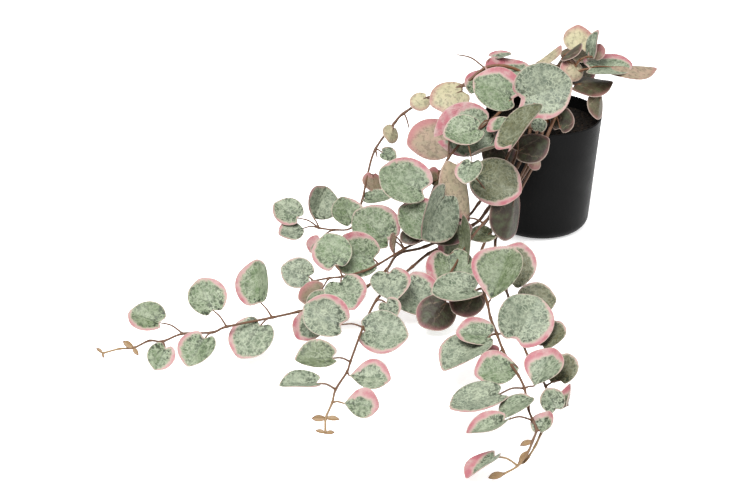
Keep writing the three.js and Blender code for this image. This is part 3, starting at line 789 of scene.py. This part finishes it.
def grow_leaf(node, row, draw, luck, radius, age):
    """A leaf's forms: a petiole, which runs on under the blade as its rib, and the blade. A bare petiole
    has no blade."""
    shape = leaf_shape(row, draw)
    plane = leaning_plane(row["lean"] + lean_spread * draw())
    axes = blade_frame(plane, row["aim"], row["turn"] + turn_spread * draw())
    length, rise = row["petiole"], np.radians(row["rise"])
    base = node + length * (bearing(plane, row["toward"]) * np.cos(rise) + plane[2] * np.sin(rise))
    if row["width"] == 0:
        return [petiole_form(node, base, length, [base], petiole_root, radius, age, luck)]
    blade = new_blade(outline, base, axes, row["width"], 1, shape)
    rib = blade_points(blade, np.array(rib_places), np.zeros(3), np.array(rib_depths))
    petiole = petiole_form(node, blade["base"], length, rib, petiole_tip, radius, age, luck)
    pull = bearing(plane, row["pink"][0])
    pink = np.arctan2(pull @ axes[1], pull @ axes[0]), row["pink"][1]
    drawn, shift = luck.random(2)
    tone = drawn if row["tone"] is None else row["tone"]
    marks = dict(tone=tone, flush=row["back"], shift=pattern_shift * shift)
    return [petiole, blade_form(blade, pink, leaf_skin, **marks)]


def grow_bud(node, row, draw, luck):
    """A bud's form: a slim blade in golden bark, folded along its rib, its foot sunk in the stem."""
    shape = dict(fold=bud_fold, cup=bud_cup_spread * draw(), wave=0, phase=0, taper=0)
    axes = blade_frame(leaning_plane(blade_lean), row["aim"], bud_turn_spread * draw())
    base = node - axes[0] * bud_sink * row["length"]
    blade = new_blade(bud_outline, base, axes, row["length"], bud_slimness, shape)
    tone, shift = luck.random(2)
    return blade_form(blade, bud_pink, stem_bark, tone=tone, flush=1, shift=pattern_shift * shift)


def grow_stem(root, knots, number):
    """All the forms of a leafy stem. The stem's radius falls evenly to its tip, and swells at each node
    as a bell curve of the distance from it; its root goes straight down into the compost. Its age runs
    from 0 at the root to 0.5 along the vine, and up to 1 over the last part of a stem that still buds."""
    nodes = np.array([at for at, leaves, buds in knots])
    line, run = smooth_line([*root, *nodes], stem_pitch)
    radius = stem_root + (stem_tip - stem_root) * run / run[-1]
    budding = np.clip(1 + (run - run[-1]) / gold_length, 0, 1) if knots[-1][2] else 0
    age = 0.5 * (np.clip(run / amber_length, 0, 1) + budding)
    luck = np.random.default_rng(seeds_per_stem * fleck_seed + number)
    near = np.linalg.norm(line[:, None] - nodes, axis=2).min(1)
    swell = 1 + node_swell * np.exp(-((near / node_length) ** 2))
    made = [bark_form(line, run, radius * swell, stem_sides, age, luck)]
    for index, (at, leaves, buds) in enumerate(knots, 1):
        draw = dice(seeds_per_stem * number + index)
        there = np.linalg.norm(line - at, axis=1).argmin()
        for row in leaves:
            made += grow_leaf(at, row, draw, luck, radius[there], age[there])
        for row in buds:
            made.append(grow_bud(at, row, draw, luck))
    return made


# The marks that each point of a leafy stem carries, by attribute: its place on the skin and a shift of
# its pattern; its distance from the rim, or a stem's age, the breadth of the pink margin there, and
# whether it is underneath; and how green its leaf is and how dusky its underside, both partly painted
# light and shade. Lengths here are in millimetres.
attributes = {
    "skin": ("skin_x", "skin_y", "shift"),
    "zone": ("edge", "margin", "under"),
    "fate": ("tone", "flush"),
}


def marks_of(tree):
    """The sockets of the marks, and of the skin's place as a vector."""
    found = {}
    for attribute, marks in attributes.items():
        found[attribute] = add(tree, "Attribute", {}, attribute_name=attribute).outputs["Vector"]
        parts = add(tree, "SeparateXYZ", {"Vector": found[attribute]}).outputs
        found.update(zip(marks, parts))
    return found


def maths(tree, operation, first, second=0.0, third=0.0):
    """One sum on sockets or numbers."""
    return add(tree, "Math", {0: first, 1: second, 2: third}, operation=operation).outputs[0]


def times(tree, first, second):
    """The product of two sockets or numbers."""
    return maths(tree, "MULTIPLY", first, second)


def spread_by(tree, noise_fac, width, value):
    """The value, moved up and down by the noise over that width in all."""
    return maths(tree, "MULTIPLY_ADD", maths(tree, "SUBTRACT", noise_fac, 0.5), width, value)


def between(tree, value, low, high):
    """A smooth step: 0 below low, 1 above high, eased between them. Low may be the larger of the two."""
    inputs = {"Value": value, "From Min": low, "From Max": high}
    return add(tree, "MapRange", inputs, interpolation_type="SMOOTHSTEP").outputs["Result"]


vein_pale = (0.275, 0.305, 0.222)
cell_grey = (0.093, 0.114, 0.083)
cell_green = (0.076, 0.113, 0.05)
# painted shade: the olive, towards tone 2, also darkens leaves that lie in shade
cell_olive_and_shade = (0.062, 0.058, 0.025)
fleck_dark = (0.012, 0.02, 0.008)
pink_rose = (0.255, 0.082, 0.096)
pink_pale = (0.3, 0.192, 0.182)
halo_cream = (0.24, 0.215, 0.16)
# painted highlight: the cream colour below is a line of light painted along each blade's rim
rim_cream_highlight = (0.325, 0.268, 0.222)
# painted light and shade: the cream is partly a painted glow of light through backlit leaves, and the dusk
# partly painted shade on undersides that lie in shade
under_cream_backlight = (0.33, 0.3, 0.19)
under_beige = (0.24, 0.175, 0.125)
under_olive = (0.08, 0.06, 0.029)
under_dusk_shade = (0.02, 0.0125, 0.007)
margin_wander = 4.5
margin_fray = 3.4
vein_bend = 4
net_scale = 0.36
rib_spacing = 3.5
behind_notch = 1.5
leaf_grain = 0.00016

# How strongly each pattern shows on the face, and then on the underside.
cloud_share = 0.62
net_share = 0.8
ribs_share = 0.9
least_veins = 0.35
varied_veins = 0.6
patch_share = 0.9
least_flecks = 0.34
margin_flecks = 0.4
# painted shade: flecks crowd at the notch, and a dark line runs along the midrib crease
notch_shade_flecks = 0.45
midrib_shade_share = 0.45
# painted highlight: how strongly the cream light along the face's rim shows
rim_highlight_share = 0.65
# painted sheen: how fast the frost, partly a painted sheen, fades as the tone rises
tone_fading = 0.36
under_cloud = 0.3
under_patches = 0.35
under_ribs = 0.3
under_pink = 0.75
# painted highlight: how strongly the cream light along the underside's rim shows
under_rim_highlight = 0.7


def leaf_patterns(tree):
    """The marks, and the patterns that both sides of a leaf share: its depth inside the margin's edge,
    which wanders by a noise, and a ragged depth that feathers it; how far it is from the notch; ribs that
    fan out from behind the notch as sines of the bearing; a cloud, and patches, both of noise."""
    found = marks_of(tree)
    skin = found["skin"]
    depth = maths(tree, "SUBTRACT", found["edge"], found["margin"])
    depth = spread_by(tree, noise(tree, skin, scale=0.1, detail=2)["Fac"], margin_wander, depth)
    bend = {0: noise(tree, skin, scale=0.3, detail=2)["Color"], 1: (vein_bend, vein_bend, 0), 2: skin}
    bent = add(tree, "VectorMath", bend, operation="MULTIPLY_ADD").outputs[0]
    feather = noise(tree, bent, scale=0.45, detail=3)["Fac"]
    ragged = spread_by(tree, feather, margin_fray, depth)
    flat = add(tree, "VectorMath", {0: skin, 1: (1, 1, 0)}, operation="MULTIPLY").outputs[0]
    from_notch = add(tree, "VectorMath", {0: flat}, operation="LENGTH").outputs["Value"]
    fan = maths(tree, "ARCTAN2", found["skin_y"], maths(tree, "ADD", found["skin_x"], behind_notch))
    fan = maths(tree, "MULTIPLY_ADD", feather, 0.5, fan)
    ribs = maths(tree, "ABSOLUTE", maths(tree, "SINE", times(tree, fan, rib_spacing)))
    ribs = times(tree, between(tree, ribs, 0.22, 0.03), between(tree, from_notch, 26, 6))
    cloud = speckle(tree, skin, scale=0.22, detail=4, low=0.38, high=0.66)
    patches = speckle(tree, bent, scale=0.4, detail=3, low=0.53, high=0.6)
    found.update(depth=depth, bent=bent, ragged=ragged, from_notch=from_notch, ribs=ribs,
                 cloud=cloud, patches=patches)
    return found


def pale_veins(tree, found, frost_and_sheen):
    """How pale the veins are: a net between the cells and the ribs, showing more in some places than in
    others, and fainter on a greener leaf; on the greyest leaves the pale net partly stands in for a
    painted sheen."""
    cells = {"Vector": found["bent"], "Scale": net_scale}
    cells = add(tree, "TexVoronoi", cells, feature="DISTANCE_TO_EDGE").outputs["Distance"]
    net = between(tree, cells, 0.17, 0.02)
    veins = maths(tree, "MAXIMUM", times(tree, net, net_share), times(tree, found["ribs"], ribs_share))
    showing = speckle(tree, found["skin"], scale=0.08, detail=2, low=0.4, high=0.6)
    showing = maths(tree, "MULTIPLY_ADD", showing, varied_veins, least_veins)
    return times(tree, times(tree, veins, showing), frost_and_sheen)


def green_face(tree, found, veins, frost_and_sheen):
    """The green of a face: darker cells, greyer, greener or more olive from leaf to leaf, the grey partly a
    painted sheen and the olive partly painted shade, under a pale cloud and the pale veins, with flecks
    that crowd along the margin, more at the notch as painted shade, and a dark midrib that is painted
    shade in its crease."""
    cell = blend(tree, found["tone"], cell_grey, cell_green)
    cell = blend(tree, between(tree, found["tone"], 1, 2), cell, cell_olive_and_shade)
    green = blend(tree, times(tree, times(tree, found["cloud"], cloud_share), frost_and_sheen), cell, vein_pale)
    green = blend(tree, veins, green, vein_pale)
    specks = speckle(tree, found["skin"], scale=0.85, detail=2, low=0.55, high=0.65)
    flecks = maths(tree, "MAXIMUM", times(tree, found["patches"], patch_share), specks)
    # painted shade: flecks crowd thicker at the notch
    margin, notch = between(tree, found["depth"], 5.5, 1), between(tree, found["from_notch"], 15, 3)
    crowd = maths(tree, "MULTIPLY_ADD", margin, margin_flecks, least_flecks)
    crowd = maths(tree, "MULTIPLY_ADD", notch, notch_shade_flecks, crowd)
    green = blend(tree, times(tree, flecks, crowd), green, fleck_dark)
    # painted shade: a dark line along the midrib crease, fading away from the notch
    midrib = between(tree, maths(tree, "ABSOLUTE", found["skin_y"]), 0.7, 0.1)
    midrib = times(tree, midrib, between(tree, found["from_notch"], 28, 2))
    return blend(tree, times(tree, midrib, midrib_shade_share), green, fleck_dark)


def pink_edged(tree, found, green):
    """The face with its margin: pink that is deeper in patches and pales inwards to a cream halo, and a
    painted cream highlight along the rim."""
    deep = speckle(tree, found["skin"], scale=0.14, detail=3, low=0.36, high=0.56)
    pink = blend(tree, times(tree, between(tree, found["depth"], -0.1, -2.8), deep), pink_pale, pink_rose)
    pink = blend(tree, between(tree, found["ragged"], -1.2, 0.6), pink, halo_cream)
    face = blend(tree, between(tree, found["ragged"], -0.4, 1.3), pink, green)
    # painted highlight: a cream line of light along the face's rim
    return blend(tree, times(tree, between(tree, found["edge"], 0.8, 0.2), rim_highlight_share), face, rim_cream_highlight)


def underside(tree, found):
    """The plainer underside, from cream, partly painted light through the leaf, through beige and olive to
    dusk, partly painted shade, mottled by the cloud, patches and ribs, with a faint pink margin and a
    painted cream highlight along the rim."""
    # painted light and shade: the ramp runs from painted light through the leaf at cream to painted shade
    # at dusk
    beige = blend(tree, between(tree, found["flush"], 0.0, 0.33), under_cream_backlight, under_beige)
    olive = blend(tree, between(tree, found["flush"], 0.33, 0.66), beige, under_olive)
    under = blend(tree, between(tree, found["flush"], 0.66, 1.0), olive, under_dusk_shade)
    under = blend(tree, times(tree, found["cloud"], under_cloud), under, cell_green)
    under = blend(tree, times(tree, found["patches"], under_patches), under, under_dusk_shade)
    under = blend(tree, times(tree, found["ribs"], under_ribs), under, under_beige)
    pink = times(tree, between(tree, found["depth"], 3.5, -4.0), under_pink)
    # painted highlight: a cream line of light along the underside's rim
    rim = times(tree, between(tree, found["edge"], 0.9, 0.2), under_rim_highlight)
    return blend(tree, rim, blend(tree, pink, under, pink_rose), rim_cream_highlight)


def heart_leaf():
    """The leaf's skin: its pink-edged green face above and its underside below, with raised veins."""
    material, tree, shader = new_material("heart leaf", cell_green, roughness=0.5, specular=0.3)
    found = leaf_patterns(tree)
    # painted sheen: a low tone frosts the face with pale cloud and veins that stand partly for a sheen
    frost_and_sheen = maths(tree, "MULTIPLY_ADD", found["tone"], -tone_fading, 1.0)
    veins = pale_veins(tree, found, frost_and_sheen)
    face = pink_edged(tree, found, green_face(tree, found, veins, frost_and_sheen))
    skin = blend(tree, between(tree, found["under"], 0.4, 0.6), face, underside(tree, found))
    tree.links.new(skin, shader.inputs["Base Color"])
    bump(tree, shader, maths(tree, "MULTIPLY_ADD", found["patches"], -0.5, veins), leaf_grain)
    return material


stem_amber = (0.15, 0.06, 0.021)
stem_dark = (0.068, 0.034, 0.0185)
stem_gold = (0.205, 0.14, 0.068)
streak_share = 0.4
bark_grain = 0.0001


def wiry_stem():
    """The stem's bark: amber where it leaves the compost, dark red-brown along the vine and golden at the
    young end, with streaks of noise."""
    material, tree, shader = new_material("wiry stem", stem_dark, roughness=0.5, specular=0.35)
    found = marks_of(tree)
    streaks = speckle(tree, found["skin"], scale=0.5, detail=4, low=0.3, high=0.7)
    older = blend(tree, between(tree, found["edge"], 0.1, 0.5), stem_amber, stem_dark)
    bark = blend(tree, between(tree, found["edge"], 0.6, 0.95), older, stem_gold)
    bark = blend(tree, times(tree, streaks, streak_share), bark, stem_amber)
    tree.links.new(bark, shader.inputs["Base Color"])
    bump(tree, shader, streaks, bark_grain)
    return material


def store(mesh, name, *values):
    """Puts up to three numbers on each point of the mesh, under that name, with 0 for one left out."""
    padded = np.zeros((len(mesh.vertices), 3), np.float32)
    padded[:, :len(values)] = np.column_stack(values)
    mesh.attributes.new(name, "FLOAT_VECTOR", "POINT").data.foreach_set("vector", padded.ravel())


foliage = heart_leaf(), wiry_stem()
for number, (name, stem) in enumerate(stems.items(), 1):
    forms = grow_stem(*stem, number)
    starts = np.cumsum([0] + [len(f["vertices"]) for f in forms])
    faces = [[start + corner for corner in face]
             for start, f in zip(starts, forms) for face in f["faces"]]
    leafy = piece("vine_" + name, np.vstack([f["vertices"] for f in forms]), faces, *foliage)
    materials = np.repeat([f["material"] for f in forms], [len(f["faces"]) for f in forms])
    leafy.data.polygons.foreach_set("material_index", materials)
    for attribute, marks in attributes.items():
        store(leafy.data, attribute, *(np.concatenate([f["marks"][mark] for f in forms]) for mark in marks))
    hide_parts("stem_" + name)

# ---- Stage ----
# A plain pale floor that glows faintly, so that shadows on it wash out, under soft studio light: a
# bright sky all round, a large soft lamp high on the left of the front, and a weaker one on the right.
floor_half = 4
floor_glow = 0.5
sky_strength = 0.76
pale, tree, shader = new_material("pale floor", (0.93, 0.93, 0.93), roughness=0.8, specular=0.1)
shader.inputs["Emission Color"].default_value = (1, 1, 1, 1)
shader.inputs["Emission Strength"].default_value = floor_glow
corners = [(floor_half * x, floor_half * y, 0) for x, y in ((-1, -1), (1, -1), (1, 1), (-1, 1))]
floor = piece("floor", corners, [(0, 1, 2, 3)], pale)

sky = bpy.data.worlds.new("studio")
bpy.context.scene.world = sky
sky.use_nodes = True
sky.node_tree.nodes["Background"].inputs["Color"].default_value = (1, 1, 1, 1)
sky.node_tree.nodes["Background"].inputs["Strength"].default_value = sky_strength


def lamp(name, place, size, power):
    """A square area light at the place, facing the middle of the plant."""
    light = bpy.data.lights.new(name, "AREA")
    light.size = size
    light.energy = power
    made = bpy.data.objects.new(name, light)
    made.location = place
    middle = (cad_low + cad_high) / 2
    made.rotation_euler = (middle - made.location).to_track_quat("-Z", "Y").to_euler()
    bpy.context.scene.collection.objects.link(made)


lamp("key_lamp", place=(-0.5, -0.7, 1.5), size=1.0, power=49)
lamp("fill_lamp", place=(1.1, -0.3, 0.9), size=0.8, power=7)
bpy.context.scene.view_settings.view_transform = "Standard"

camera_dip = 26.5
camera_place = (-0.12696, -1.27459, 0.60809)
camera = bpy.data.objects.new("camera", bpy.data.cameras.new("camera"))
camera.data.lens = 85.0
camera.data.sensor_width = 36.0
camera.location = camera_place
camera.rotation_euler = (np.radians(90 - camera_dip), 0, 0)
bpy.context.scene.collection.objects.link(camera)
bpy.context.scene.camera = camera
